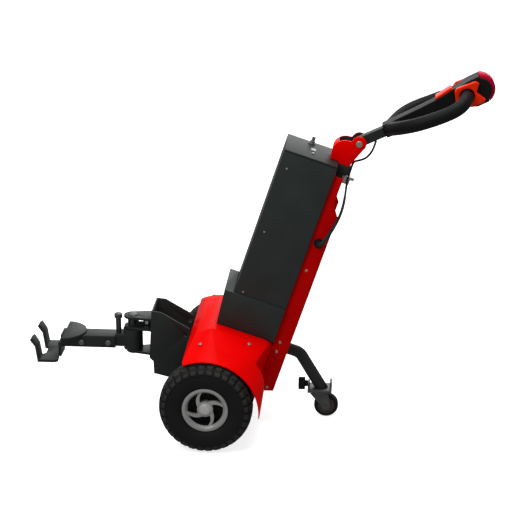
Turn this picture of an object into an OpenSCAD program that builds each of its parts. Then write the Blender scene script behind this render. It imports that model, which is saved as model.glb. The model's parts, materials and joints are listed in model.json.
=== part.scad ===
// Pedestrian electric tow tug, parked on its two drive wheels and its tail caster.
// X runs to the operator's end, Z is up, and the floor is Z = 0. Sizes are in millimetres.
// Everything is drawn from the wheel axle and raised by the wheel's radius at the end.

/* [Drive wheels] */
// Outer diameter over the tread blocks
tyre_d = 260; // [220:1:300]
// Width of the tyre
tyre_w = 85; // [76:1:100]
// Depth of the tread
tread_h = 6; // [3:0.5:8]
// Number of tread blocks round each shoulder
tread_count = 22; // [14:1:30]
// Thickness of the tyre's side wall
tyre_wall = 9; // [6:0.5:12]
// Diameter over the rim flange
rim_d = 127; // [115:1:140]
// Distance between the rim's two faces
rim_w = 67; // [60:1:74]
// Distance between the middles of the two tyres
track = 478; // [450:1:560]
// Diameter of the hub
hub_d = 36; // [30:1:46]
// Diameter of the drive shaft
axle_d = 20; // [16:1:25]
// Number of swept spokes
spoke_count = 4; // [3:1:6]
// Turn of a spoke from the hub to the rim
spoke_sweep = 45; // [20:1:70]
// Width of a spoke at the hub
spoke_w = 14; // [8:1:18]

/* [Wheel cover] */
// Gap from the tread to the wheel arch
arch_gap = 5.2; // [5:0.2:12]
// Thickness of the moulded cover
cover_wall = 3; // [2.5:0.5:4]
// Width of the cover's raised middle
cover_mid_w = 266; // [240:1:300]
// How far the tyre's outer side stands out past the cover's lip
cover_lip_in = 21; // [12:1:30]
// Drop of the arch's middle below the axle
arch_drop = 14; // [8:1:20]
// Rise of the cover's front corner over the arch
cover_rise = 33.8; // [28:0.2:42]
// How far the front top corner lies ahead of the axle
cover_front_x = 38; // [30:1:46]

/* [Column and battery case] */
// Lean of the column towards the operator
column_tilt = 18.5; // [15:0.5:22]
// How far the front foot of the tray lies behind the axle
tray_x = 12; // [5:1:20]
// Rise of the tray's front foot over the cover's front corner
tray_rise = 13; // [9:1:18]
// Width of the column
column_w = 150; // [120:1:160]
// Depth of the column, front to back
column_deep = 47; // [40:1:60]
// Sheet thickness of the column
column_wall = 4; // [3:0.5:6]
// How far the column's level foot lies below the axle
column_foot = 25; // [10:1:40]
// Depth of the narrowed top of the column
column_top_deep = 25; // [20:1:35]
// Length of the narrowed top of the column
column_top_len = 109; // [90:1:150]
// Width of the battery case
case_w = 170; // [156:1:190]
// Depth of the battery case, front to back
case_deep = 152; // [135:1:170]
// Height of the battery case
case_h = 541; // [480:1:600]
// How far the case stands behind the tray's front foot
case_set = 22; // [12:1:30]
// Thickness of the case's lid
lid_t = 6; // [4:0.5:10]
// Wall of the battery case
case_wall = 5; // [3:0.5:8]
// Sheet thickness of the tray
tray_wall = 3; // [2:0.5:5]
// Height of the tray's sides
tray_h = 105; // [80:1:140]
// Clearance of the case in its tray
case_gap = 0.5; // [0.2:0.1:2]

/* [Front guard and coupling] */
// Outer width of the front guard
guard_w = 112; // [90:1:124]
// Sheet thickness of the guard
guard_wall = 4; // [3:0.5:6]
// How far the guard's front lies ahead of the axle
guard_front_x = 182; // [170:1:186]
// Height of the guard's top over the axle
guard_top = 202.5; // [185:0.5:215]
// How far the coupling pin lies ahead of the axle
pin_x = 236; // [228:1:244]
// Diameter of the coupling pin
pin_d = 20; // [16:1:24]
// Diameter of the barrel on the pin
barrel_d = 56; // [48:1:60]
// Running clearance of the barrel
barrel_gap = 0.3; // [0.2:0.1:0.6]
// Height of the top of the coupling over the axle
coupling_top = 170; // [160:1:176]
// Thickness of the coupling plates
coupling_plate = 7; // [5:1:8]
// Width of the coupling plates at the guard
coupling_w = 70; // [56:1:80]

/* [Tow arm] */
// Width of the arm's tube
arm_w = 56; // [50:1:64]
// Height of the arm's tube
arm_h = 36; // [30:1:40]
// Wall of the arm's tube
arm_wall = 4; // [3:0.5:6]
// Height of the arm's underside over the axle
arm_z = 75; // [70:1:80]
// How far the tip of the arm's tube lies ahead of the axle
arm_tip_x = 444; // [430:1:455]
// Radius of the half-round push plate
push_r = 67; // [60:1:80]
// Width of the hook's floor plate
hook_w = 150; // [130:1:170]
// Thickness of the hook plate
hook_t = 8; // [6:1:10]
// How far the hook's tips lie ahead of the axle
hook_tip_x = 525; // [515:1:540]
// Drop of the hook's floor below the arm's underside
hook_drop = 23; // [18:1:34]
// Distance between the middles of the two prongs
prong_pitch = 107; // [95:1:120]
// Width of each prong
prong_w = 37; // [24:1:40]

/* [Tail caster] */
// Diameter of the caster wheel
caster_d = 70; // [60:1:80]
// Width of the caster wheel
caster_w = 26; // [20:1:32]
// Trail of the caster wheel
caster_trail = 20; // [15:1:28]
// Room between the caster wheel and the caster plate
caster_over = 11; // [9:1:20]
// Thickness of the caster plate
caster_plate_t = 8; // [5:1:12]
// How far the leg's knee lies behind the column's front face
leg_out = 87; // [75:1:110]
// Lean of the tail leg's lower run from upright
leg_slope = 30.5; // [20:0.5:40]
// Diameter of the tail leg
leg_d = 34; // [28:1:38]

/* [Tiller] */
// Setback of the tiller pivot from the column's front face
pivot_u = 36.5; // [30:0.5:42]
// Height of the tiller pivot over the case
pivot_w = 65.4; // [60:0.2:75]
// Diameter of the tiller pivot
pivot_d = 12; // [8:1:16]
// Rise of the tiller shaft from level
tiller_rise = 25; // [15:1:35]
// Height of the tiller shaft's tube
shaft_h = 26; // [20:1:28]
// Width of the tiller shaft's tube
shaft_w = 30; // [20:1:34]
// Length of the tiller shaft from its pivot
shaft_len = 110; // [100:1:130]
// Distance from the pivot to the middle of the control head
tiller_len = 354; // [340:1:380]
// Inner width of the tiller bracket
fork_w = 46; // [42:1:52]
// Sheet thickness of the tiller bracket
fork_t = 5; // [4:0.5:8]
// Distance between the middles of the two grips
grip_pitch = 214; // [195:1:235]
// Thickness of the grips
grip_d = 37; // [30:1:40]
// Width of the handle's middle
spine_w = 44; // [38:1:56]
// Width of the control head
head_w = 64; // [56:1:76]
// Radius of the control head's round end
cap_r = 43.5; // [40:0.5:48]
// Thickness of the end cap
cap_t = 10; // [6:1:14]

/* [Lead] */
// Diameter of the control lead
lead_d = 6; // [5:0.5:8]

/* [Hidden] */
$fn = 48;
axle_z = tyre_d / 2;
tyre_y = track / 2;
rim_r = rim_d / 2;
rim_half = rim_w / 2;
arch_x = -3.4;
arch_in = tyre_d / 2 + arch_gap + arch_drop;
arch_out = arch_in + cover_wall;
arch_front = 112;
arch_tail = -5;
arch_spare = 3;
rear_wall_y = 200;
cover_half = tyre_y + tyre_w / 2 - cover_lip_in;
cover_mid = cover_mid_w / 2;
cover_top = arch_out - arch_drop + cover_rise;
tray_z = cover_top + tray_rise;
seat = 0.2;
case_base = seat + tray_wall;
case_top = case_base + case_h;
column_u = case_set + case_deep + case_gap;
column_half = column_w / 2;
column_top = case_top - 30;
chassis_half = cover_mid - 8;
chassis_wall = 5;
chassis_r = tyre_d / 2 + 16;
chassis_front = -64;
chassis_low = -58;
guard_half = guard_w / 2;
coupling_mid = coupling_top - 32;
coupling_low = arm_z - 17;
barrel_low = coupling_low + coupling_plate + 2;
barrel_high = coupling_mid - coupling_plate - 2;
arm_root_x = pin_x + 49;
arm_top = arm_z + arm_h;
hook_floor = arm_z - hook_drop - hook_t;
hook_front_x = hook_tip_x - 20;
grip_y = grip_pitch / 2;
head_n = 6;
cap_seat = 14;
caster_r = caster_d / 2;
plate_z = caster_d + caster_over - axle_z;
plate_top = plate_z + caster_plate_t;
leg_w = -38;
knee = lean(column_u + leg_out, leg_w);
swivel_x = knee[0] + (knee[1] - plate_top) * tan(leg_slope) - 5;
pivot = lean(column_u + pivot_u, case_top + pivot_w);
tiller_end_x = pivot[0] + tiller_len * cos(tiller_rise) - head_n * sin(tiller_rise) + cap_r;
x_mid = (tiller_end_x - hook_tip_x) / 2;
fork_half = fork_w / 2;
shelf_drop = (tray_x - arch_x) * sin(column_tilt) + (tray_z + arch_drop) * cos(column_tilt) - arch_out;
shelf_run = cover_half - cover_mid;

// Puts what is drawn from the axle into the part's frame
module placed() {
  translate([-x_mid, 0, axle_z]) children();
}

// Stands a side profile drawn in X and Z between two Y planes
module side(low, high) {
  translate([0, high, 0])
    rotate([90, 0, 0])
      linear_extrude(high - low)
        children();
}

// Leans what is drawn about the tray's front foot by the column's tilt
module leaned() {
  translate([tray_x, 0, tray_z])
    rotate([0, column_tilt, 0])
      children();
}

// The leaned frame, moved to the column's front face at the height of the case's top
module at_head() {
  leaned()
    translate([column_u, 0, case_top])
      children();
}

// A point of the leaned frame in X and Z
function lean(u, w) = [tray_x + u * cos(column_tilt) + w * sin(column_tilt),
  tray_z - u * sin(column_tilt) + w * cos(column_tilt)];

// A point at a radius and angle from the axle
function polar(r, a) = [r * cos(a), r * sin(a)];

// A drive wheel's axis along Y, with its outer face up the local Z
module at_wheel(s) {
  translate([0, s * tyre_y, 0])
    rotate([-90 * s, 0, 0])
      children();
}

// The tiller's frame: X runs out along the shaft from its pivot
module at_tiller() {
  translate([pivot[0], 0, pivot[1]])
    rotate([0, -tiller_rise, 0])
      children();
}

// A round bar with round ends between two points
module bar(a, b, d) {
  hull() {
    translate(a)
      sphere(d = d, $fn = 24);
    translate(b)
      sphere(d = d, $fn = 24);
  }
}

// A point of the arch's ring, and the ring from its tail to its front
function arch(r, a) = [arch_x, -arch_drop] + polar(r, a);
function arch_points(r) = [for (a = [arch_tail - arch_spare : 3 : arch_front + arch_spare]) arch(r, a)];

// What the cover's rear wall leaves out on one side, over the round of the wheel arch
module cover_rear(s, inset) {
  difference() {
    leaned()
      translate([0, 0, -400])
        linear_extrude(420)
          polygon([[column_u - 1 - inset, s * column_half], [column_u - 37 - inset, s * (rear_wall_y + inset)],
            [column_u + 120, s * (rear_wall_y + inset)], [column_u + 120, s * column_half]]);
    translate([arch_x, 0, -arch_drop])
      rotate([90, 0, 0])
        cylinder(h = 800, r = arch_out - inset, center = true, $fn = 120);
  }
}

// Solid form of the moulded cover, smaller by a wall where asked
module cover_form(inset) {
  difference() {
    cover_hull(inset);
    for (s = [-1, 1])
      cover_rear(s, inset);
  }
}

// The cover's form before its rear walls are cut in
module cover_hull(inset) {
  rear = column_u - 1 - inset;
  hull() {
    side(-cover_mid + inset, cover_mid - inset)
      polygon([[-cover_front_x + inset, cover_top - inset], lean(-5, -inset), lean(rear - 22, -inset),
        lean(rear - 11, -3 - inset), lean(rear - 3, -11 - inset), lean(rear, -22), lean(rear, -90), [0, 100]]);
    for (s = [-1, 1])
      side(s * (cover_half - 3 - inset) - 3, s * (cover_half - 3 - inset) + 3)
        polygon(arch_points(arch_out - inset));
  }
}

// Moulded cover: a raised middle, shelves that slope out over the wheels, and round arches
module wheel_cover() {
  front = arch(arch_out, arch_front);
  tail = arch(arch_out, arch_tail);
  run = tail - front;
  color([0.85, 0.02, 0.03])
    placed()
      difference() {
        cover_form(0);
        cover_form(cover_wall);
        for (s = [-1, 1])
          translate([arch_x, s * (cover_half - 20), -arch_drop])
            rotate([-90 * s, 0, 0])
              cylinder(h = 60, r = arch_in + 0.5, $fn = 120);
        side(-cover_half - 1, cover_half + 1)
          polygon([front - run, tail + run, tail + run - [0, 400], front - run - [0, 700]]);
        leaned()
          translate([column_u - 0.5, -column_half - 0.5, -300])
            cube([200, column_w + 1, 400]);
      }
}

// Two side plates, a front plate and a leaned back plate that carry the axle
module chassis_frame() {
  back_low = lean(column_u, -190);
  color([0.05, 0.05, 0.055])
    placed() {
      for (s = [-1, 1])
        side(s * (chassis_half - chassis_wall / 2) - chassis_wall / 2,
          s * (chassis_half - chassis_wall / 2) + chassis_wall / 2)
          difference() {
            polygon([[chassis_front, 20], [chassis_front, chassis_r - 30], [-44, chassis_r - 28], [-18, chassis_r + 4],
              lean(4, -cover_wall - 1), lean(column_u - 52, -cover_wall - 1), [chassis_r - 18, chassis_r - 40],
              [chassis_r - 18, 20], lean(column_u, -126), back_low, [back_low[0], chassis_low], [-20, chassis_low]]);
            circle(d = 56);
          }
      side(-chassis_half + chassis_wall, chassis_half - chassis_wall)
        polygon([[chassis_front, 20], [chassis_front, chassis_r - 30], [chassis_front + chassis_wall, chassis_r - 30],
          [chassis_front + chassis_wall, 20 - chassis_wall]]);
      leaned()
        translate([column_u - chassis_wall, -chassis_half + chassis_wall, -190])
          cube([chassis_wall, 2 * (chassis_half - chassis_wall), 64]);
    }
}

// Motor, gearbox and the two axle tubes, hung between the side plates
module drive_unit() {
  inner = chassis_half - chassis_wall;
  color([0.13, 0.13, 0.14])
    placed() {
      rotate([90, 0, 0])
        cylinder(h = 2 * inner, d = 96, center = true);
      rotate([90, 0, 0])
        cylinder(h = 2 * (tyre_y - rim_half - 6), d = 50, center = true);
      translate([-35, 30 - inner, 30])
        cube([80, 120, 90]);
      rotate([90, 0, 0])
        cylinder(h = 2 * (tyre_y + rim_half - 13), d = axle_d, center = true);
    }
}

// Open-backed channel that carries the case, the tiller and the tail leg
module column() {
  step = column_top - column_top_len;
  rear = column_u + column_deep;
  slim = column_u + column_top_deep;
  color([0.62, 0.01, 0.02])
    placed()
      difference() {
        leaned()
          difference() {
            translate([column_u, -column_half, -260])
              cube([column_deep, column_w, column_top + 260]);
            translate([column_u + column_wall, -column_half + column_wall, -300])
              cube([column_deep, column_w - 2 * column_wall, column_top + 400]);
            side(-column_half - 10, column_half + 10)
              polygon([[rear + 1, step], [rear - 4, step + 6], [slim + 3, step + 28], [slim, step + 38],
                [slim, column_top + 20], [rear + 30, column_top + 20], [rear + 30, step]]);
          }
        translate([-400, -200, -400 - column_foot])
          cube([900, 400, 400]);
      }
}

// Folded tray that the case drops into, with its front wall set forward of the case and a ledge between
module battery_tray() {
  half = case_w / 2 + case_gap + tray_wall;
  color([0.06, 0.065, 0.065])
    placed()
      leaned()
        translate([0, 0, seat])
          difference() {
            side(-half, half)
              polygon([[4, 0], [column_u - case_gap, 0], [column_u - case_gap, tray_h], [-6, tray_h]]);
            translate([case_set - case_gap, -half + tray_wall, tray_wall])
              cube([column_u, 2 * (half - tray_wall), tray_h]);
            side(-half + tray_wall, half - tray_wall)
              polygon([[4 + tray_wall, tray_wall], [column_u + 1, tray_wall], [column_u + 1, tray_h - tray_wall],
                [-6 + tray_wall, tray_h - tray_wall]]);
          }
}

module battery_case() {
  color([0.07, 0.075, 0.075])
    placed()
      leaned()
        difference() {
          translate([case_set, -case_w / 2, case_base])
            cube([case_deep, case_w, case_h - lid_t]);
          translate([case_set + case_wall, -case_w / 2 + case_wall, case_base + case_wall])
            cube([case_deep - 2 * case_wall, case_w - 2 * case_wall, case_h]);
        }
}

// Flat lid with a locating rim inside the case's mouth
module battery_lid() {
  inset = case_wall + case_gap;
  color([0.1, 0.105, 0.105])
    placed()
      leaned() {
        translate([case_set, -case_w / 2, case_top - lid_t])
          cube([case_deep, case_w, lid_t]);
        translate([case_set + inset, -case_w / 2 + inset, case_top - lid_t - 10])
          difference() {
            cube([case_deep - 2 * inset, case_w - 2 * inset, 10]);
            translate([4, 4, -1])
              cube([case_deep - 2 * inset - 8, case_w - 2 * inset - 8, 12]);
          }
      }
}

module key_switch() {
  color([0.5, 0.5, 0.5])
    placed()
      leaned()
        translate([case_set + case_deep * 0.47, case_w * 0.35, case_top]) {
          cylinder(h = 3, d = 20);
          cylinder(h = 9, d = 14);
          translate([-5, -1.5, 9])
            cube([10, 3, 12]);
        }
}

// Charge window and a small lamp beside it
module charge_gauge() {
  color([0.75, 0.75, 0.75])
    placed()
      leaned() {
        translate([case_set + case_deep * 0.47, -10, case_top])
          cube([14, 22, 2]);
        translate([case_set + case_deep * 0.52, -case_w * 0.21, case_top])
          cylinder(h = 3, d = 9);
      }
}

// A round screw head that stands out sideways on a plate
module screw_at(p, s, y, d) {
  translate([p[0], s * y, p[1]])
    rotate([-90 * s, 0, 0])
      cylinder(h = 3, d = d, $fn = 24);
}

// Screws of the column, the case and the cover's shelves
module body_screws() {
  slope = atan(shelf_drop / shelf_run);
  rise = atan(tray_rise / (cover_front_x + tray_x));
  color([0.55, 0.5, 0.45])
    placed()
      for (s = [-1, 1]) {
        for (p = [[17, 232], [17, 2.4], [17, -28], [26, -141]])
          screw_at(lean(column_u + p[0], p[1]), s, column_half, 9);
        for (w = [112, 0.553 * case_h, case_h - 50])
          screw_at(lean(case_set + 23, case_base + w), s, case_w / 2 + (w < tray_h ? 4 : 0), 6);
        leaned()
          translate([108, s * cover_mid, 0])
            rotate([-s * slope, 0, 0])
              translate([0, s * 14, 0.3])
                cylinder(h = 3, d = 11, $fn = 24);
        translate([-19.4, s * 192.3, 161.5])
          rotate([-s * 15.75, -17.5, 0])
            cylinder(h = 3, d = 10, $fn = 24);
      }
}

// Open-topped guard of folded sheet ahead of the chassis
module front_guard() {
  front = -guard_front_x;
  color([0.05, 0.05, 0.055])
    placed()
      difference() {
        side(-guard_half, guard_half)
          polygon([[front + 9, guard_top], [front + 36, guard_top - 3], [chassis_front, guard_top - 51],
            [chassis_front, 0], [front + 57, 0], [front + 12, 11], [front + 11, 48], [front, 59]]);
        side(-guard_half + guard_wall, guard_half - guard_wall)
          polygon([[front + 13, guard_top + 40], [front + 9 + guard_wall, guard_top], [front + guard_wall, 61],
            [front + 11 + guard_wall, 50], [front + 12 + guard_wall, -40], [chassis_front + 9, -40],
            [chassis_front + 9, guard_top + 40]]);
        side(-guard_half - 1, guard_half + 1)
          translate([chassis_front - 12, guard_top - 68])
            circle(d = 12);
      }
}

// Front face of the guard at a height, less a hair for the plates that meet it
function guard_face(z) = 9 * (max(z, 59) - 59) / (guard_top - 59) - guard_front_x - 0.1;

// A coupling plate with a rounded nose round the pin
module coupling_plate_at(top, nose) {
  front = guard_face(top - coupling_plate);
  translate([0, 0, top - coupling_plate])
    linear_extrude(coupling_plate)
      difference() {
        union() {
          translate([-pin_x, 0])
            circle(r = nose);
          polygon([[-pin_x, nose], [front, coupling_w / 2], [front, -coupling_w / 2], [-pin_x, -nose]]);
        }
        translate([-pin_x, 0])
          circle(d = pin_d + 0.2);
      }
}

// A lower plate and an upper pair, with a pierced web between the upper two
module coupling() {
  low = coupling_mid;
  high = coupling_top - coupling_plate;
  color([0.06, 0.06, 0.065])
    placed() {
      coupling_plate_at(coupling_top, 25);
      coupling_plate_at(coupling_mid, 25);
      coupling_plate_at(coupling_low + coupling_plate, 20);
      difference() {
        side(-4, 4)
          difference() {
            polygon([[-pin_x - 14, low], [guard_face(low), low], [guard_face(high), high],
              [-pin_x - 14, high]]);
            translate([-pin_x + 17, low + 10])
              square([14, 10]);
            translate([-pin_x + 35, low + 3])
              square([10, 10]);
          }
        translate([-pin_x, 0, 0])
          cylinder(h = 400, d = pin_d + 0.2);
      }
    }
}

module coupling_pin() {
  color([0.45, 0.45, 0.46])
    placed()
      translate([-pin_x, 0, coupling_low - 4]) {
        cylinder(h = coupling_top - coupling_low + 4, d = pin_d);
        cylinder(h = 4, d = pin_d + 10);
        translate([0, 0, coupling_top - coupling_low + 4])
          cylinder(h = 2, d = pin_d + 8);
      }
}

// Barrel on the coupling pin, with the solid neck of the arm
module tow_barrel() {
  neck = 48;
  color([0.07, 0.07, 0.075])
    placed()
      difference() {
        union() {
          translate([-pin_x, 0, barrel_low])
            cylinder(h = barrel_high - barrel_low, d = barrel_d);
          translate([-arm_root_x, -neck / 2, arm_z + 4])
            cube([arm_root_x - pin_x - 6, neck, arm_h - 1]);
        }
        translate([-pin_x, 0, -100])
          cylinder(h = 400, d = pin_d + 2 * barrel_gap);
      }
}

module tow_tube() {
  long = arm_tip_x - arm_root_x;
  color([0.05, 0.05, 0.055])
    placed()
      translate([-arm_tip_x, -arm_w / 2, arm_z])
        difference() {
          cube([long, arm_w, arm_h]);
          translate([-1, arm_wall, arm_wall])
            cube([long - 11, arm_w - 2 * arm_wall, arm_h - 2 * arm_wall]);
        }
}

module lock_post() {
  foot = arm_z + arm_h + 3;
  color([0.3, 0.3, 0.31])
    placed()
      translate([-pin_x - 42, 0, foot]) {
        cylinder(h = coupling_top - 11 - foot, d = 16);
        translate([0, 0, coupling_top - 11 - foot])
          cylinder(h = 13, d = 23);
      }
}

// Half-round plate on top of the arm that the trolley's frame bears on
module push_plate() {
  color([0.05, 0.05, 0.055])
    placed()
      translate([-arm_tip_x + 10, 0, arm_top])
        linear_extrude(6)
          difference() {
            translate([-6, 0])
              circle(r = push_r, $fn = 72);
            translate([-2 * push_r, -2 * push_r])
              square([2 * push_r, 4 * push_r]);
          }
}

// Floor plate with a notched front edge, a neck with a tongue into the arm's tube, and two upturned prongs
module tow_hook() {
  low = hook_floor;
  top = hook_floor + hook_t;
  front = -hook_front_x;
  rear = -arm_tip_x - 2;
  high = top + 64;
  color([0.05, 0.05, 0.055])
    placed() {
      translate([0, 0, low])
        linear_extrude(hook_t)
          difference() {
            polygon([[front, -hook_w / 2], [rear - 8, -hook_w / 2], [rear, -hook_w / 2 + 8], [rear - 6, 0],
              [rear, hook_w / 2 - 8], [rear - 8, hook_w / 2], [front, hook_w / 2]]);
            polygon([[front - 1, -37], [front + 15, -24], [front + 15, 20], [front - 1, 33]]);
          }
      translate([rear - 6, -arm_w / 2, low])
        cube([hook_t, arm_w, arm_z + arm_wall + 8 - low]);
      translate([rear, -arm_w / 2 + arm_wall + seat, arm_z + arm_wall + 0.1])
        cube([52, arm_w - 2 * arm_wall - 2 * seat, 7.9]);
      for (s = [-1, 1])
        side(s * prong_pitch / 2 - prong_w / 2, s * prong_pitch / 2 + prong_w / 2)
          polygon([[front, low], [front + hook_t, low], [front + hook_t, top], [front + 2, high - 24],
            [-hook_tip_x + 8, high], [-hook_tip_x, high - 6], [front - 6, high - 26]]);
    }
}

module arm_bolts() {
  color([0.4, 0.4, 0.41])
    placed()
      for (x = [arm_tip_x - 61, arm_root_x + 20])
        for (s = [-1, 1])
          translate([-x, s * arm_w / 2, arm_z + arm_h / 2 - 2])
            rotate([-90 * s, 0, 0])
              cylinder(h = 7, d = 17, $fn = 6);
}

// Mitred tube from the column's web down to the caster plate
module tail_leg() {
  turn = 90 - column_tilt - leg_slope;
  start = column_wall - leg_out;
  color([0.09, 0.09, 0.095])
    placed()
      difference() {
        leaned()
          translate([column_u + leg_out, 0, leg_w]) {
            difference() {
              translate([start, 0, 0])
                rotate([0, 90, 0])
                  cylinder(h = leg_d - start, d = leg_d);
              rotate([0, turn / 2, 0])
                translate([0, -leg_d, -leg_d])
                  cube(2 * leg_d);
            }
            difference() {
              rotate([0, turn, 0])
                translate([-leg_d, 0, 0])
                  rotate([0, 90, 0])
                    cylinder(h = 200 + leg_d, d = leg_d);
              rotate([0, turn / 2, 0])
                translate([-2 * leg_d, -leg_d, -leg_d])
                  cube(2 * leg_d);
            }
          }
        translate([0, -100, plate_top - 400])
          cube([600, 200, 400]);
      }
}

// Plate over the caster, with an upright lug at each end
module caster_plate() {
  color([0.16, 0.16, 0.165])
    placed() {
      translate([swivel_x - 34, -30, plate_z])
        cube([70, 60, caster_plate_t]);
      translate([swivel_x - 34, -14, plate_top])
        cube([6, 28, 17]);
      translate([swivel_x + 30, -18, plate_top])
        cube([6, 36, 20]);
    }
}

module tail_knob() {
  color([0.03, 0.03, 0.03])
    placed()
      translate([swivel_x - 34, 0, plate_top + 10])
        rotate([0, -90, 0]) {
          cylinder(h = 8, d = 18);
          translate([0, 0, 8])
            cylinder(h = 19, d = 37);
        }
}

// Swivel head and the two plates of the caster's fork
module caster_fork() {
  head = caster_d + 5 - axle_z;
  hub = caster_r - axle_z;
  axle_x = swivel_x + caster_trail;
  color([0.2, 0.2, 0.2])
    placed() {
      translate([swivel_x, 0, head])
        cylinder(h = plate_z - head, d = 56);
      for (s = [-1, 1])
        side(s * (caster_w / 2 + 5) - 2, s * (caster_w / 2 + 5) + 2)
          polygon([[swivel_x - 26, head], [swivel_x + 26, head], [axle_x + 13, hub], [axle_x + 7, hub - 11],
            [axle_x - 7, hub - 11], [axle_x - 13, hub]]);
      translate([axle_x, 0, hub])
        rotate([90, 0, 0])
          cylinder(h = caster_w + 24, d = 10, center = true);
    }
}

module at_caster() {
  translate([swivel_x + caster_trail, 0, caster_r - axle_z])
    rotate([90, 0, 0])
      children();
}

module caster_tyre() {
  half = caster_w / 2;
  color([0.03, 0.03, 0.03])
    placed()
      at_caster()
        rotate_extrude($fn = 72)
          polygon([[caster_r - 10, -half], [caster_r - 4, -half], [caster_r, -half + 5], [caster_r, half - 5],
            [caster_r - 4, half], [caster_r - 10, half]]);
}

module caster_hub() {
  color([0.25, 0.2, 0.19])
    placed()
      at_caster()
        difference() {
          cylinder(h = caster_w, r = caster_r - 10, center = true);
          cylinder(h = caster_w + 2, d = 10.6, center = true);
        }
}

// Post inside the column's top, with the black collar that the bracket stands on
module tiller_post() {
  color([0.05, 0.05, 0.055])
    placed()
      at_head() {
        translate([column_wall + 0.2, -20, -124])
          cube([19.8, 40, 100]);
        translate([0.5, -28, -29.8])
          cube([36, 56, 25.8]);
      }
}

// Clamp on the post that sets the handle's height, with its screw
module clamp_block() {
  color([0.4, 0.4, 0.41])
    placed()
      at_head() {
        translate([column_wall + 20.2, -18, -57])
          cube([24, 36, 22]);
        translate([column_wall + 44.2, 0, -43])
          rotate([0, 90, 0])
            cylinder(h = 11, d = 9);
      }
}

// Two ears and a folded web that carry the tiller's pivot
module tiller_bracket() {
  color([0.8, 0.02, 0.03])
    placed()
      at_head()
        difference() {
          side(-fork_half - fork_t, fork_half + fork_t)
            union() {
              translate([pivot_u, pivot_w])
                circle(r = 20);
              polygon([[-24, 1.5], [0.5, 1.5], [0.5, -4], [31, -4], [42, 25], [pivot_u + 20, pivot_w - 2],
                [pivot_u - 8, pivot_w + 18], [14, 65], [2, 64], [-9, 60], [-18, 53],
                [-24, 44], [-27, 32]]);
            }
          side(-fork_half, fork_half)
            polygon([[-16, 10], [24, 6], [60, 6], [pivot_u + 40, pivot_w], [pivot_u, pivot_w + 40], [-40, pivot_w + 40],
              [-40, 66], [-14, 52], [-21, 38]]);
          translate([pivot_u, 0, pivot_w])
            rotate([90, 0, 0])
              cylinder(h = 200, d = pivot_d + 0.2, center = true);
        }
}

module pivot_bolt() {
  color([0.45, 0.45, 0.46])
    placed()
      translate([pivot[0], 0, pivot[1]])
        rotate([90, 0, 0]) {
          cylinder(h = fork_w + 2 * fork_t + 8, d = pivot_d, center = true);
          for (s = [-1, 1])
            translate([0, 0, s * (fork_half + fork_t + 2.6)])
              cylinder(h = 5, d = 18, center = true, $fn = 24);
        }
}

module tiller_shaft() {
  color([0.06, 0.06, 0.065])
    placed()
      at_tiller()
        difference() {
          union() {
            rotate([90, 0, 0])
              cylinder(h = shaft_w, d = shaft_h, center = true);
            translate([0, -shaft_w / 2, -shaft_h / 2])
              cube([shaft_len, shaft_w, shaft_h]);
          }
          rotate([90, 0, 0])
            cylinder(h = 100, d = pivot_d + 0.6, center = true);
        }
}

// Way of one grip from the socket round to the head, as distance, width and rise
grip_way = [[94, 18, 2], [118, 58, 5], [146, grip_y - 14, 6], [176, grip_y - 1, 4], [222, grip_y + 1, -1],
  [268, grip_y - 1, -2], [296, grip_y - 11, 0], [314, grip_y - 37, 6], [318, 46, 8]];

// Both grips of the closed hand loop, each a chain of bars
module handle_grips() {
  color([0.06, 0.06, 0.065])
    placed()
      at_tiller()
        difference() {
          for (s = [-1, 1])
            for (i = [0 : len(grip_way) - 2])
              bar([grip_way[i][0], s * grip_way[i][1], grip_way[i][2]],
                [grip_way[i + 1][0], s * grip_way[i + 1][1], grip_way[i + 1][2]], grip_d);
          translate([0, -spine_w / 2, -60])
            cube([250, spine_w, 120]);
          translate([200, -head_w / 2, -60])
            cube([200, head_w, 120]);
        }
}

// Moulded middle of the handle, from the shaft's socket to the control head
module handle_spine() {
  color([0.05, 0.05, 0.055])
    placed()
      at_tiller()
        difference() {
          union() {
            side(-spine_w / 2, spine_w / 2)
              polygon([[76, -17], [120, -17], [230, -12], [tiller_len - 45, -16], [tiller_len, head_n - 30],
                [tiller_len, head_n + 30], [tiller_len - 55, 36], [250, 28], [190, 24], [110, 21], [76, 20]]);
            side(-head_w / 2, head_w / 2)
              union() {
                translate([tiller_len, head_n])
                  circle(r = cap_r - cap_t - 0.1);
                polygon([[tiller_len - 58, -20], [tiller_len - 20, head_n - cap_r + 4],
                  [tiller_len + cap_seat - 0.1, head_n - cap_r + 5],
                  [tiller_len + cap_seat - 0.1, head_n + cap_r - 7], [tiller_len - 20, head_n + cap_r - 8],
                  [tiller_len - 58, 34]]);
              }
          }
          translate([0, -shaft_w / 2 - 0.1, -shaft_h / 2 - 0.1])
            cube([shaft_len + 0.1, shaft_w + 0.2, shaft_h + 0.2]);
        }
}

// A butterfly lever on each side of the head, hollowed where the grip's end passes through
module thumb_levers() {
  n = len(grip_way);
  color([0.85, 0.12, 0.02])
    placed()
      at_tiller()
        for (s = [-1, 1])
          difference() {
            side(s * (head_w / 2 + 7.3) - 7, s * (head_w / 2 + 7.3) + 7)
              translate([tiller_len - 354, 0])
                polygon([[284, 4], [292, 33], [301, 39], [354, 36], [361, 27], [345, 8], [361, -21], [348, -27], [319, -24],
                  [292, -16]]);
            for (i = [n - 4 : n - 2])
              bar([grip_way[i][0], s * grip_way[i][1], grip_way[i][2]],
                [grip_way[i + 1][0], s * grip_way[i + 1][1], grip_way[i + 1][2]], grip_d + 3);
            bar([grip_way[n - 1][0], s * grip_way[n - 1][1], grip_way[n - 1][2]],
              [grip_way[n - 1][0] + 3, s * (grip_way[n - 1][1] - 18), grip_way[n - 1][2] + 1.5], grip_d + 3);
          }
}

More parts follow.
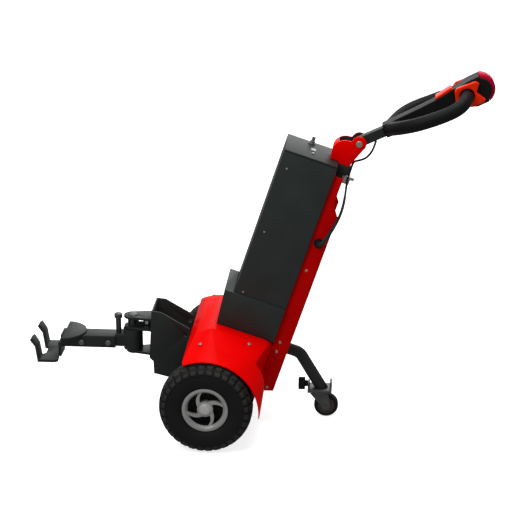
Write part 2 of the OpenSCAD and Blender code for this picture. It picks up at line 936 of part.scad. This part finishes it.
// Rocker on top of the spine, seated on its slope
module top_button() {
  color([0.85, 0.12, 0.02])
    placed()
      at_tiller()
        side(-20, 20)
          polygon([[236, 27.4], [239, 33], [286, 42], [290, 34.7], [250, 28.2]]);
}

// Rounded belly cap over the end of the control head
module end_cap() {
  color([0.6, 0.0, 0.08])
    placed()
      at_tiller()
        side(-head_w / 2 + 6, head_w / 2 - 6)
          difference() {
            translate([tiller_len, head_n])
              circle(r = cap_r);
            translate([tiller_len, head_n])
              circle(r = cap_r - cap_t);
            translate([tiller_len + cap_seat - 100, -200])
              square([100, 400]);
          }
}

module lead_piece(points) {
  for (i = [0 : len(points) - 2])
    bar(points[i], points[i + 1], lead_d);
}

// Rubber gland in the column's flange where the lead enters
module cable_gland() {
  color([0.03, 0.03, 0.03])
    placed()
      at_head()
        translate([23, -column_half, -225])
          rotate([90, 0, 0]) {
            cylinder(h = 6, d = 28, $fn = 32);
            cylinder(h = 14, d = 18, $fn = 32);
          }
}

module lead_run() {
  color([0.03, 0.03, 0.03])
    placed()
      at_head()
        lead_piece([[23, -column_half - 14.4 - lead_d / 2, -225], [34, -column_half - 20, -219], [48, -88, -205],
          [60, -70, -158], [57, -52, -92], [47, -41, -38], [40.5, -34, -11.5 - lead_d - 0.4]]);
}

module lead_loop() {
  color([0.03, 0.03, 0.03])
    placed()
      at_head()
        lead_piece([[40.5, -33, -11.5], [43, -28, 9], [54, -24, 21], [68, -22, 37], [76, -20, 58], [74, -18.4, 82]]);
}

// Half of the tyre's outer section from bead to crown, as radius and width
tyre_skin = [[rim_r - 7.6, rim_half - 19.5], [rim_r - 7.4, rim_half - 7.5], [rim_r + 0.8, rim_half - 2.4],
  [rim_r + 3, rim_half + 2.5], [rim_r + 14, tyre_w / 2 - 1], [rim_r + 25, tyre_w / 2], [tyre_d / 2 - 22, tyre_w / 2 - 2],
  [tyre_d / 2 - 8, tyre_w / 2 - 8.5], [tyre_d / 2 - 2.5, tyre_w / 2 - 18], [tyre_d / 2, 15], [tyre_d / 2, 10],
  [tyre_d / 2 - tread_h + 1, 9], [tyre_d / 2 - tread_h + 1, 5], [tyre_d / 2, 4]];
// Half of the tyre's inner section from crown to bead
tyre_core = [[tyre_d / 2 - 10, 12], [tyre_d / 2 - 14, tyre_w / 2 - 17], [tyre_d / 2 - 24, tyre_w / 2 - 2 - tyre_wall],
  [rim_r + 25, tyre_w / 2 - tyre_wall], [rim_r + 16, tyre_w / 2 - tyre_wall - 1.5], [rim_r + 6, rim_half - 9]];

// Points taken in turn or backwards, on one side of the wheel's middle
function half_of(points, s) = [for (i = [0 : len(points) - 1])
  s > 0 ? points[len(points) - 1 - i] : [points[i][0], -points[i][1]]];

// Hollow tyre with grooves round the crown and notches between the shoulder blocks
module tyre(s) {
  outer = concat(half_of(tyre_skin, -1), half_of(tyre_skin, 1));
  upper = [for (i = [0 : len(tyre_core) - 1]) tyre_core[len(tyre_core) - 1 - i]];
  lower = [for (p = tyre_core) [p[0], -p[1]]];
  color([0.03, 0.03, 0.03])
    placed()
      at_wheel(s)
        difference() {
          rotate_extrude($fn = 96)
            polygon(concat(outer, upper, lower));
          for (f = [-1, 1])
            for (i = [0 : tread_count - 1])
              rotate((i + (f + 1) / 4) * 360 / tread_count)
                translate([tyre_d / 2 - tread_h - 5, -4, f * (tyre_w / 2 - 7) - 10])
                  cube([30, 8, 20]);
        }
}

// One swept spoke as a plan outline, wide at the hub and narrow at the rim
function spoke_edge(f, k) = let (r = hub_d / 2 + 2 + (rim_r - 13 - hub_d / 2) * k, w = spoke_w / 2 - 2.5 * k)
  polar(r, 11 + spoke_sweep * (1 - k) + f * w / r * 180 / PI);

// Barrel with two flanges, a swept-spoke face and a bolted web behind it
module rim(s) {
  bed = rim_r - 8.2;
  color([0.5, 0.5, 0.5])
    placed()
      at_wheel(s) {
        rotate_extrude($fn = 96)
          polygon([[bed, 7 - rim_half], [rim_r, 2 - rim_half], [rim_r, -rim_half], [rim_r - 8, -rim_half],
            [rim_r - 14, 8 - rim_half], [rim_r - 14, rim_half - 8], [rim_r - 8, rim_half], [rim_r, rim_half],
            [rim_r, rim_half - 2], [bed, rim_half - 7]]);
        translate([0, 0, rim_half - 15])
          linear_extrude(9)
            difference() {
              union() {
                circle(r = hub_d / 2 + 4);
                for (i = [0 : spoke_count - 1])
                  rotate(i * 360 / spoke_count)
                    polygon(concat([for (k = [0 : 0.125 : 1]) spoke_edge(1, k)],
                      [for (k = [1 : -0.125 : 0]) spoke_edge(-1, k)]));
              }
              circle(d = hub_d + 0.2);
            }
        translate([0, 0, -4])
          linear_extrude(6)
            difference() {
              circle(r = rim_r - 11);
              circle(d = hub_d + 0.2);
            }
        for (i = [0 : spoke_count - 1])
          rotate(80 + i * 360 / spoke_count)
            translate([rim_r * 0.58, 0, 2])
              cylinder(h = 6, d = 10, $fn = 24);
      }
}

// Hub on the drive shaft, closed by a round cap
module hub(s) {
  color([0.55, 0.55, 0.55])
    placed()
      at_wheel(s)
        difference() {
          union() {
            translate([0, 0, -rim_half])
              cylinder(h = rim_w - 6, d = hub_d);
            translate([0, 0, rim_half - 6])
              cylinder(h = 6, d = hub_d - 9);
          }
          translate([0, 0, -rim_half - 1])
            cylinder(h = rim_w - 11, d = axle_d + 0.6);
        }
}

module left_tyre() {
  tyre(-1);
}

module left_rim() {
  rim(-1);
}

module left_hub() {
  hub(-1);
}

module right_tyre() {
  tyre(1);
}

module right_rim() {
  rim(1);
}

module right_hub() {
  hub(1);
}

wheel_cover();
chassis_frame();
drive_unit();
column();
battery_tray();
battery_case();
battery_lid();
key_switch();
charge_gauge();
body_screws();
front_guard();
coupling();
coupling_pin();
tail_leg();
caster_plate();
tail_knob();
tiller_post();
clamp_block();
tiller_bracket();
pivot_bolt();
cable_gland();
lead_run();
lead_loop();
left_tyre();
left_rim();
left_hub();
right_tyre();
right_rim();
right_hub();
tow_barrel();
tow_tube();
lock_post();
push_plate();
tow_hook();
arm_bolts();
tiller_shaft();
handle_grips();
handle_spine();
thumb_levers();
top_button();
end_cap();
caster_fork();
caster_tyre();
caster_hub();
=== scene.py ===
import json
from math import atan2, copysign, cos, hypot, pi, radians, sin

import bpy
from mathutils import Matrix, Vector


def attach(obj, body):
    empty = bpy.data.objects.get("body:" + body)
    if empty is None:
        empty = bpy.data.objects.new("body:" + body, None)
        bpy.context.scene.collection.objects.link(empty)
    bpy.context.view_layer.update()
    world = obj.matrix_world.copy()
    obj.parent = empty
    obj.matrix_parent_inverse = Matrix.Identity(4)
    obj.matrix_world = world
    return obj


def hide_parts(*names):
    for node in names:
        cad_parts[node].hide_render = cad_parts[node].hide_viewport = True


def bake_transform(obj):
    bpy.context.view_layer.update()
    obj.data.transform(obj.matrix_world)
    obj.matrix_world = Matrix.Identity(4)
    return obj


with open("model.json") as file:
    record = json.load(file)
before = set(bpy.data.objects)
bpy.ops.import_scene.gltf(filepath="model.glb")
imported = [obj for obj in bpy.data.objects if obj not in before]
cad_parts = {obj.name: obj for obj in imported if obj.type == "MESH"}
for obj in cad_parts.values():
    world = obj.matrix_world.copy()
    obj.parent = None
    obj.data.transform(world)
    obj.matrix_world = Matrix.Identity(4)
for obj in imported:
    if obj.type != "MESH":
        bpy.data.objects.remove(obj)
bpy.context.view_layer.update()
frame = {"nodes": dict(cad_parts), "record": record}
bpy.ops.object.select_all(action="DESELECT")


# Studio: a plain pale floor under soft light from above. The camera stands where the photograph was
# taken from, high and far off, so that the machine is seen from its left side and a little from above.
photo_pixels = 520
focal_pixels = 1500
eye, eye_tilt, eye_turn = (0.2978, -3.997, 1.884), radians(70.63), radians(4.1)
bpy.ops.object.camera_add(location=eye, rotation=(eye_tilt, 0, eye_turn))
camera = bpy.context.object
camera.data.sensor_width = 36
camera.data.lens = camera.data.sensor_width * focal_pixels / photo_pixels
bpy.context.scene.camera = camera
bpy.context.scene.view_settings.view_transform = "Standard"

world = bpy.data.worlds.new("studio_air")
world.use_nodes = True
world.node_tree.nodes["Background"].inputs["Color"].default_value = (1, 1, 1, 1)
world.node_tree.nodes["Background"].inputs["Strength"].default_value = 0.32
bpy.context.scene.world = world

lamps = (("key_light", (-1.5, -2.3, 3.3), (0, 0, 0.4), 1.6, 46),
         ("top_light", (0.2, 0.3, 3.6), (0, 0, 0.4), 2.2, 78),
         ("back_light", (0.3, 4.6, 2.3), (0, 0, 0.6), 3.6, 70),
         ("tail_light", (3.2, -1.4, 1.6), (0.1, 0, 0.5), 1.6, 1))
for name, place, aim, size, power in lamps:
    bpy.ops.object.light_add(type="AREA", location=place)
    lamp = bpy.context.object
    lamp.name = name
    lamp.data.size = size
    lamp.data.energy = power
    lamp.rotation_euler = (Vector(aim) - Vector(place)).to_track_quat("-Z", "Y").to_euler()

floor_size, floor_drop = 600, 0.0006
bpy.ops.mesh.primitive_plane_add(size=floor_size, location=(0, 0, -floor_drop))
floor = bpy.context.object
floor.name = "studio_floor"
floor_paint = bpy.data.materials.new("studio_floor_paint")
floor_paint.use_nodes = True
floor_skin = floor_paint.node_tree.nodes["Principled BSDF"]
floor_skin.inputs["Base Color"].default_value = (0.93, 0.93, 0.93, 1)
floor_skin.inputs["Roughness"].default_value = 0.9
floor_skin.inputs["Emission Color"].default_value = (1, 1, 1, 1)
floor_skin.inputs["Emission Strength"].default_value = 0.74
floor.visible_diffuse = False
floor.visible_glossy = False
floor.data.materials.append(floor_paint)


# Control lead: a thin black rubber-sheathed cable. It leaves a gland in the column's left side, climbs
# behind the column, swings out under the pivot in a slack loop and enters the underside of the tiller.
# A moulded sleeve, thickest at the gland, keeps it from kinking there.
def finish(name, colour, rough, metal=0.0, grain=900.0, relief=0.05, fade=0.12, shine=0.3):
    """A paint, rubber or metal whose colour, gloss and surface all vary a little."""
    made = bpy.data.materials.new(name)
    made.use_nodes = True
    nodes, links = made.node_tree.nodes, made.node_tree.links
    skin = nodes["Principled BSDF"]
    skin.inputs["Metallic"].default_value = metal
    skin.inputs["Specular IOR Level"].default_value = shine
    where = nodes.new("ShaderNodeTexCoord")
    clouds = nodes.new("ShaderNodeTexNoise")
    clouds.inputs["Scale"].default_value = 14
    clouds.inputs["Detail"].default_value = 5
    fine = nodes.new("ShaderNodeTexNoise")
    fine.inputs["Scale"].default_value = grain
    fine.inputs["Detail"].default_value = 2
    tint = nodes.new("ShaderNodeValToRGB")
    tint.color_ramp.elements[0].position = 0.3
    tint.color_ramp.elements[0].color = [c * (1 - fade) for c in colour] + [1]
    tint.color_ramp.elements[1].position = 0.7
    tint.color_ramp.elements[1].color = [min(1, c * (1 + fade)) for c in colour] + [1]
    gloss = nodes.new("ShaderNodeMapRange")
    gloss.inputs["To Min"].default_value = rough - 0.06
    gloss.inputs["To Max"].default_value = rough + 0.08
    bump = nodes.new("ShaderNodeBump")
    bump.inputs["Strength"].default_value = relief
    bump.inputs["Distance"].default_value = 0.001
    links.new(where.outputs["Object"], clouds.inputs["Vector"])
    links.new(where.outputs["Object"], fine.inputs["Vector"])
    links.new(clouds.outputs["Fac"], tint.inputs["Fac"])
    links.new(tint.outputs["Color"], skin.inputs["Base Color"])
    links.new(clouds.outputs["Fac"], gloss.inputs["Value"])
    links.new(gloss.outputs["Result"], skin.inputs["Roughness"])
    links.new(fine.outputs["Fac"], bump.inputs["Height"])
    links.new(bump.outputs["Normal"], skin.inputs["Normal"])
    return made


axle = Vector((-0.121161, 0, 0.13))
tray_foot = axle + Vector((0.012, 0, 0.185))
column_tilt = radians(18.5)
column_face = 0.1745
case_top = 0.5442


def leaned(u, y, w):
    """A point of the leaning column: back from the tray's foot, across, and up along the column."""
    back = u * cos(column_tilt) + w * sin(column_tilt)
    up = w * cos(column_tilt) - u * sin(column_tilt)
    return tray_foot + Vector((back, y, up))


def tube(name, points, radius, sides=8, swell=()):
    """A round tube along smooth points, whose first points may be thicker by the shares in swell."""
    bpy.ops.curve.primitive_nurbs_path_add()
    made = bpy.context.object
    made.name = name
    spline = made.data.splines[0]
    spline.points.add(len(points) - len(spline.points))
    for knot, point in zip(spline.points, points):
        knot.co = (*point, 1)
    for knot, share in zip(spline.points, swell):
        knot.radius = share
    spline.order_u = 4
    spline.use_endpoint_u = True
    spline.resolution_u = 6
    made.data.bevel_depth = radius
    made.data.bevel_resolution = sides // 2 - 2
    made.data.use_fill_caps = True
    return made


def way_of(curve):
    """The points that a curve really passes through, as its mesh has them."""
    bare = curve.copy()
    bare.data = curve.data.copy()
    bare.data.bevel_depth = 0
    bpy.context.collection.objects.link(bare)
    line = [bare.matrix_world @ v.co for v in bare.to_mesh().vertices]
    bpy.data.objects.remove(bare)
    return line


lead_radius = 0.0031
lead_route = [(0.023, -0.089, -0.225), (0.023, -0.098, -0.225), (0.029, -0.099, -0.219),
              (0.036, -0.094, -0.203), (0.0425, -0.088, -0.178), (0.0485, -0.083, -0.150),
              (0.0520, -0.076, -0.125), (0.0510, -0.062, -0.100), (0.0475, -0.046, -0.078),
              (0.0435, -0.033, -0.060), (0.0410, -0.026, -0.046), (0.0403, -0.0225, -0.034),
              (0.0400, -0.015, -0.022), (0.0399, -0.010, -0.010), (0.0399, -0.008, 0.002),
              (0.0415, -0.008, 0.010), (0.0500, -0.009, 0.0155), (0.0645, -0.012, 0.0255),
              (0.0745, -0.0155, 0.0415), (0.0790, -0.0175, 0.064), (0.0772, -0.0184, 0.087)]
lead_points = [leaned(column_face + u, y, case_top + w) for u, y, w in lead_route]
lead = tube("control_lead", lead_points, lead_radius, 12)
lead_line = way_of(lead)
bpy.ops.object.convert(target="MESH")
bpy.ops.object.shade_smooth()
lead_rubber = finish("lead_rubber", (0.012, 0.012, 0.013), 0.55, relief=0.1)
lead.data.materials.append(lead_rubber)
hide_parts("lead_run", "lead_loop")
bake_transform(lead)
sleeve_points, sleeve_step = 48, 3
sleeve_tip, sleeve_growth = 1.2, 1.2
sleeve_line = lead_line[:sleeve_points:sleeve_step]
sleeve_swell = [sleeve_tip + sleeve_growth * (1 - step / len(sleeve_line)) ** 2
                for step in range(len(sleeve_line))]
sleeve = tube("lead_sleeve", sleeve_line, lead_radius, 12, sleeve_swell)
bpy.ops.object.convert(target="MESH")
bpy.ops.object.shade_smooth_by_angle(angle=radians(40))
sleeve.data.materials.append(lead_rubber)
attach(sleeve, "chassis")


# Drive tyres: pneumatic black rubber, 260 by 85 mm, with a ribbed crown and chunky shoulder blocks.
# Each is moulded as one piece and sits on the rim's two beads. The block tops on the crown and at the foot
# of
# the shoulders are a lighter grey rubber: a painted highlight where the lugs catch light.
def rounded(piece, width, segments, angle):
    """Rounds off every edge of a piece that is sharper than the angle in degrees."""
    ease = piece.modifiers.new("edge_radius", "BEVEL")
    ease.width = width
    ease.segments = segments
    ease.limit_method = "ANGLE"
    ease.angle_limit = radians(angle)
    bpy.ops.object.modifier_apply(modifier=ease.name)


def choose(piece, wanted):
    """Selects the faces of a piece in edit mode for which wanted(face) holds."""
    bpy.context.view_layer.objects.active = piece
    bpy.ops.object.mode_set(mode="EDIT")
    bpy.ops.mesh.select_mode(type="FACE")
    bpy.ops.mesh.select_all(action="DESELECT")
    bpy.ops.object.mode_set(mode="OBJECT")
    for face in piece.data.polygons:
        face.select = wanted(face)
    bpy.ops.object.mode_set(mode="EDIT")


tyre_rubber = finish("tyre_rubber", (0.0065, 0.0065, 0.007), 0.72, grain=500, relief=0.15, fade=0.3,
                     shine=0.25)
# A lighter grey rubber that paints highlight on the block tops.
painted_highlight_rubber = finish("painted_highlight_rubber", (0.030, 0.027, 0.024), 0.75, grain=500, relief=0.2, fade=0.35,
                     shine=0.25)
tyre_radius, tyre_width, tread_depth = 0.130, 0.085, 0.0036
bead_radius = 0.0565
carcass_radius = tyre_radius - tread_depth
ring_radius = (carcass_radius + bead_radius) / 2
crown_fullness, side_fullness = 2.9, 2.3
half_track = 0.239
tread_steps, steps_per_block, tyre_sides = 128, 4, 36
block_reach, block_edge = 0.0165, 0.0415
centre_rib, side_rib = 0.006, (0.016, 0.019)
groove_slope, block_share = 0.0009, 0.97
highlight_shoulder, highlight_crown = 0.119, 0.030
for side, label in ((-1, "left"), (1, "right")):
    middle = axle + Vector((0, side * half_track, 0))
    bpy.ops.mesh.primitive_torus_add(location=middle, rotation=(pi / 2, 0, 0),
                                     major_segments=tread_steps, minor_segments=tyre_sides,
                                     major_radius=ring_radius, minor_radius=tyre_width / 2)
    tyre = bpy.context.object
    tyre.name = label + "_tyre_moulding"
    bpy.ops.object.transform_apply(location=True, rotation=True, scale=True)
    for vertex in tyre.data.vertices:
        out = vertex.co - middle
        radius = hypot(out.x, out.z)
        across = out.y / (tyre_width / 2)
        lift = (radius - ring_radius) / (tyre_width / 2)
        fullness = 2 / (crown_fullness if lift > 0 else side_fullness)
        new_radius = ring_radius + copysign(abs(lift) ** fullness, lift) * (carcass_radius - ring_radius)
        vertex.co.x = middle.x + out.x * new_radius / radius
        vertex.co.z = middle.z + out.z * new_radius / radius
        vertex.co.y = middle.y + copysign(abs(across) ** fullness, across) * tyre_width / 2

    def is_block(face):
        out = face.center - middle
        step = int(((atan2(out.z, out.x) + 2 * pi) % (2 * pi)) / (2 * pi) * tread_steps)
        radius, across = hypot(out.x, out.z), abs(out.y)
        if radius < carcass_radius - block_reach or across > block_edge:
            return False
        shift = steps_per_block // 2 if out.y > 0 else 0
        in_groove = (step + shift) % steps_per_block == steps_per_block - 1
        return not in_groove or across < centre_rib or side_rib[0] < across < side_rib[1]

    choose(tyre, is_block)
    bpy.ops.mesh.inset(thickness=groove_slope, depth=tread_depth * block_share, use_even_offset=True)
    bpy.ops.object.mode_set(mode="OBJECT")
    tyre.data.materials.append(tyre_rubber)
    tyre.data.materials.append(painted_highlight_rubber)
    # Block tops at the foot of the shoulders and on the crown take the lighter rubber as a painted
    # highlight.
    for face in tyre.data.polygons:
        out = face.center - middle
        highlit = hypot(out.x, out.z) < highlight_shoulder or abs(out.y) < highlight_crown
        face.material_index = 1 if face.select and highlit else 0
    rounded(tyre, 0.0006, 1, 40)
    bpy.ops.object.shade_smooth_by_angle(angle=radians(38))
    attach(tyre, label + "_wheel")
    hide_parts(label + "_tyre")


# Wheel rims and hubs: cast alloy, painted silver grey, with four swept spokes and a bright round cap on
# the hub.
# The web deep behind the spokes is painted near black as painted shade. They are machined castings, so
# every edge has a small radius.
bodies = frame["record"]["behaviour"]["bodies"]
body_of = {node: body for body, nodes in bodies.items() for node in nodes}


def eased(node, material, radius, segments=2, smooth=35, crease=None):
    """A copy of a CAD solid, merged, with its sharp edges rounded off, that stands for the solid."""
    made = bpy.data.objects.new(node + "_finished", frame["nodes"][node].data.copy())
    bpy.context.collection.objects.link(made)
    bpy.ops.object.select_all(action="DESELECT")
    bpy.context.view_layer.objects.active = made
    made.select_set(True)
    bpy.ops.object.mode_set(mode="EDIT")
    bpy.ops.mesh.select_all(action="SELECT")
    bpy.ops.mesh.remove_doubles(threshold=0.00002)
    bpy.ops.mesh.dissolve_limited(angle_limit=radians(1.0))
    bpy.ops.object.mode_set(mode="OBJECT")
    if radius:
        rounded(made, radius, segments, smooth)
    bpy.ops.object.shade_smooth_by_angle(angle=radians(crease or smooth))
    made.data.materials.clear()
    made.data.materials.append(material)
    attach(made, body_of[node])
    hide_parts(node)
    return made


rim_alloy = finish("rim_alloy", (0.42, 0.42, 0.41), 0.4, metal=0.25, grain=350, relief=0.06, shine=0.5)
rim_painted_shade = finish("rim_painted_shade", (0.010, 0.010, 0.011), 0.6, grain=350, relief=0.06, shine=0.2)
rim_face, spoke_depth, rim_well = 0.2725, 0.016, 0.052
hub_alloy = finish("hub_alloy", (0.66, 0.65, 0.63), 0.35, metal=0.3, grain=300, relief=0.04)
for label in ("left", "right"):
    rim = eased(label + "_rim", rim_alloy, 0.0008)
    rim.data.materials.append(rim_painted_shade)
    # Faces deep behind the spokes, inside the well, take the near-black paint: painted shade in the
    # recess.
    for face in rim.data.polygons:
        out = face.center - axle
        if abs(out.y) < rim_face - spoke_depth and hypot(out.x, out.z) < rim_well:
            face.material_index = 1
    eased(label + "_hub", hub_alloy, 0.0015, 3)


# Drive unit and chassis frame: a motor and gearbox on the axle line between two welded black side
# plates. Both are steel, bolted together, and hidden by the cover except from below and behind.
black_paint = finish("black_powder_coat", (0.0155, 0.019, 0.018), 0.48, grain=1400, relief=0.12,
                     fade=0.18)
motor_paint = finish("motor_black", (0.030, 0.030, 0.032), 0.42, metal=0.2, grain=700, relief=0.1)
eased("drive_unit", motor_paint, 0.002)
eased("chassis_frame", black_paint, 0.0008)


# Wheel cover: one red moulding with a raised middle, shelves that fall away over the wheels and round
# arches. It drops over the chassis and is held by screws in the shelves.
red_gloss = finish("red_moulding", (0.88, 0.0, 0.0), 0.36, grain=600, relief=0.03, fade=0.04, shine=0.03)
eased("wheel_cover", red_gloss, 0.003, 3, 24, 13)


# Column: a folded red steel channel, open at the back, that leans towards the operator and narrows in an
# S-step near its top. It is bolted to the chassis and carries the case, the tiller and the tail leg.
red_paint = finish("red_column_paint", (0.60, 0.0, 0.0), 0.36, grain=900, relief=0.04, fade=0.06,
                   shine=0.04)
eased("column", red_paint, 0.0012)


# Battery tray, case and lid: charcoal sheet steel with a fine powder coat. The case lifts out of the tray,
# whose front stands away from it, and the lid carries the key switch and the charge window.
charcoal = finish("charcoal_powder_coat", (0.0225, 0.029, 0.0275), 0.5, grain=1600, relief=0.14,
                  fade=0.15)
lid_coat = finish("lid_powder_coat", (0.018, 0.022, 0.021), 0.5, grain=1600, relief=0.14, fade=0.15,
                  shine=0.22)
eased("battery_tray", charcoal, 0.0012)
eased("battery_case", charcoal, 0.002, 3)
eased("battery_lid", lid_coat, 0.0018, 3)
bright_steel = finish("bright_zinc", (0.55, 0.55, 0.53), 0.32, metal=0.85, grain=300, relief=0.05)
worn_zinc = finish("worn_zinc", (0.16, 0.16, 0.16), 0.4, metal=0.6, grain=300, relief=0.06)
gauge_face = finish("gauge_face", (0.34, 0.35, 0.34), 0.35, grain=200, relief=0.01)
eased("key_switch", worn_zinc, 0.0008)
eased("charge_gauge", gauge_face, 0.0006)
screw_brass = finish("passivated_zinc", (0.42, 0.36, 0.28), 0.38, metal=0.8, grain=300, relief=0.05)
eased("body_screws", screw_brass, 0.0012, 2)


# Front guard, coupling and pin: black steel plate, folded and welded, ahead of the wheels. The coupling's
# two plates hold an oiled steel pin that the tow arm swings on.
eased("front_guard", black_paint, 0.0012)
eased("coupling", black_paint, 0.001)
dark_steel = finish("oiled_steel", (0.10, 0.10, 0.10), 0.4, metal=0.7, grain=300, relief=0.06)
eased("coupling_pin", dark_steel, 0.0015)


# Tow arm: barrel and neck, square tube, lock post, half-round push plate, and the hook with its two bent
# prongs, all black steel, bolted through the sides of the tube.
for node in ("tow_barrel", "tow_tube", "push_plate", "tow_hook"):
    eased(node, black_paint, 0.0012)
eased("lock_post", dark_steel, 0.0012)
worn_bolt = finish("worn_bolt", (0.16, 0.16, 0.16), 0.42, metal=0.6, grain=300, relief=0.06)
eased("arm_bolts", worn_bolt, 0.0012)


# Tail: a black steel tube, bent once, that is welded to the column's back and to a folded plate below.
# The plate carries a swivel caster with a solid rubber tyre, and a moulded knob whose screw sets the leg.
leg_radius, leg_bend, leg_slope = 0.017, 0.013, radians(30.5)
knee_back, knee_drop = 0.087, 0.038
leg_start, leg_steps, bend_steps = 0.083, (0.018, 0.024, 0.033, 0.045, 0.06), 8
plate_height, leg_spare = 0.089, 0.012
knee = leaned(column_face + knee_back, 0, -knee_drop)
down_the_leg = Vector((sin(leg_slope), 0, -cos(leg_slope)))
along_the_leg = Vector((cos(column_tilt), 0, -sin(column_tilt)))
foot = knee + down_the_leg * ((plate_height - knee.z) / down_the_leg.z)
leg_line = [knee - along_the_leg * away for away in (leg_start, *reversed(leg_steps))]
for turn in range(bend_steps + 1):
    share = turn / bend_steps
    leg_line.append((knee - along_the_leg * leg_bend) * (1 - share) ** 2 + knee * 2 * share * (1 - share)
                    + (knee + down_the_leg * leg_bend) * share ** 2)
leg_line += [knee + down_the_leg * away for away in leg_steps]
leg_line += [foot, foot + down_the_leg * leg_spare]
leg = tube("tail_leg_tube", leg_line, leg_radius, 32)
bpy.ops.object.convert(target="MESH")
bpy.ops.object.mode_set(mode="EDIT")
bpy.ops.mesh.select_all(action="SELECT")
bpy.ops.mesh.bisect(plane_co=(0, 0, plate_height), plane_no=(0, 0, 1), clear_inner=True, use_fill=True)
bpy.ops.object.mode_set(mode="OBJECT")
bpy.ops.object.shade_smooth_by_angle(angle=radians(40))
leg.data.materials.append(black_paint)
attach(leg, "chassis")
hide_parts("tail_leg")
eased("caster_plate", dark_steel, 0.0012)
moulded_black = finish("moulded_black", (0.0075, 0.008, 0.008), 0.5, grain=1100, relief=0.16, fade=0.2,
                       shine=0.1)
eased("tail_knob", moulded_black, 0.002, 3)
eased("caster_fork", dark_steel, 0.001)
eased("caster_tyre", tyre_rubber, 0.002, 3)
caster_core = finish("caster_core", (0.045, 0.032, 0.03), 0.5, grain=500, relief=0.08)
eased("caster_hub", caster_core, 0.002, 3)


# Tiller post, clamp, bracket and pivot: the black post slides in the column's top and is held by a clamp.
# The red folded bracket stands on the post's collar, and a bolt through its ears carries the tiller. Its
# inside faces are painted black: painted shade in the bracket's hollow.
eased("tiller_post", black_paint, 0.0012)
eased("clamp_block", bright_steel, 0.0012)
red_bracket = finish("red_bracket_paint", (1.0, 0.0, 0.0), 0.36, grain=600, relief=0.03, fade=0.04,
                     shine=0.03)
bracket = eased("tiller_bracket", red_bracket, 0.0012)
bracket.data.materials.append(black_paint)
shaded_inside_half = 0.0235
# Faces inside the bracket's fork take black paint: painted shade where its hollow lies in shadow.
for face in bracket.data.polygons:
    if all(abs(bracket.data.vertices[corner].co.y) < shaded_inside_half for corner in face.vertices):
        face.material_index = 1
eased("pivot_bolt", screw_brass, 0.0015)
eased("cable_gland", moulded_black, 0.0012)


# Tiller handle: a square steel shaft in a moulded black handle whose two grips close into a hand loop
# round the control head, with orange thumb levers, a rocker on top and a crimson belly cap at the end.
eased("tiller_shaft", black_paint, 0.0012)
pivot_back, pivot_height, tiller_rise = 0.0365, 0.0654, radians(25)
pivot = leaned(column_face + pivot_back, 0, case_top + pivot_height)


def along_tiller(s, y, n):
    """A point of the tiller: out along its shaft from the pivot, across, and square to the shaft."""
    back = s * cos(tiller_rise) - n * sin(tiller_rise)
    up = s * sin(tiller_rise) + n * cos(tiller_rise)
    return pivot + Vector((back, y, up))


def moulded(piece, grain, rounds):
    """Fuses what a piece is made of into one soft-edged moulding."""
    bpy.ops.object.select_all(action="DESELECT")
    bpy.context.view_layer.objects.active = piece
    piece.select_set(True)
    fuse = piece.modifiers.new("fuse", "REMESH")
    fuse.mode = "VOXEL"
    fuse.voxel_size = grain
    bpy.ops.object.modifier_apply(modifier=fuse.name)
    relax = piece.modifiers.new("relax", "SMOOTH")
    relax.factor = 0.5
    relax.iterations = rounds
    bpy.ops.object.modifier_apply(modifier=relax.name)
    bpy.ops.object.shade_smooth()


grip_radius = 0.0187
grip_route = [(0.088, 0.008, 0.001), (0.096, 0.022, 0.002), (0.112, 0.050, 0.004), (0.132, 0.078, 0.006),
              (0.160, 0.100, 0.005), (0.195, 0.108, 0.002), (0.235, 0.109, -0.001), (0.270, 0.107, -0.002),
              (0.296, 0.097, 0.000), (0.310, 0.078, 0.005), (0.316, 0.060, 0.007), (0.318, 0.042, 0.008),
              (0.318, 0.030, 0.008)]
bpy.ops.object.select_all(action="DESELECT")
handle = bpy.data.objects.new("handle_moulding", frame["nodes"]["handle_spine"].data.copy())
bpy.context.collection.objects.link(handle)
grips = []
for side in (-1, 1):
    grip = tube("grip", [along_tiller(s, side * y, n) for s, y, n in grip_route], grip_radius, 24)
    bpy.ops.object.convert(target="MESH")
    grips.append(grip)
bpy.ops.object.select_all(action="DESELECT")
for piece in (*grips, handle):
    piece.select_set(True)
bpy.context.view_layer.objects.active = handle
bpy.ops.object.join()
moulded(handle, 0.0018, 7)
handle.data.materials.clear()
handle.data.materials.append(moulded_black)
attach(handle, "tiller")
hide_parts("handle_grips", "handle_spine")
switch_orange = finish("switch_orange", (1.0, 0.025, 0.001), 0.34, grain=800, relief=0.03, fade=0.05,
                       shine=0.1)
belly_red = finish("belly_red", (0.46, 0.0, 0.025), 0.42, grain=800, relief=0.03, fade=0.06, shine=0.04)
moulded(eased("thumb_levers", switch_orange, 0), 0.0011, 48)
eased("top_button", switch_orange, 0.002, 3)
cap_radius, cap_width, cap_edge = 0.0432, 0.052, 0.011
cap_reach, cap_lift, seat_reach = 0.354, 0.006, 0.3682
head_middle = along_tiller(cap_reach, 0, cap_lift)
cap_seat = along_tiller(seat_reach, 0, 0)
bpy.ops.mesh.primitive_cylinder_add(vertices=96, radius=cap_radius, depth=cap_width, location=head_middle,
                                    rotation=(pi / 2, 0, 0))
cap = bpy.context.object
cap.name = "belly_cap"
bpy.ops.object.transform_apply(location=True, rotation=True, scale=True)
rounded(cap, cap_edge, 6, 40)
bpy.ops.object.mode_set(mode="EDIT")
bpy.ops.mesh.select_all(action="SELECT")
bpy.ops.mesh.bisect(plane_co=cap_seat, plane_no=(cos(tiller_rise), 0, sin(tiller_rise)),
                    clear_inner=True, use_fill=True)
bpy.ops.object.mode_set(mode="OBJECT")
bpy.ops.object.shade_smooth_by_angle(angle=radians(40))
cap.data.materials.append(belly_red)
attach(cap, "tiller")
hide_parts("end_cap")
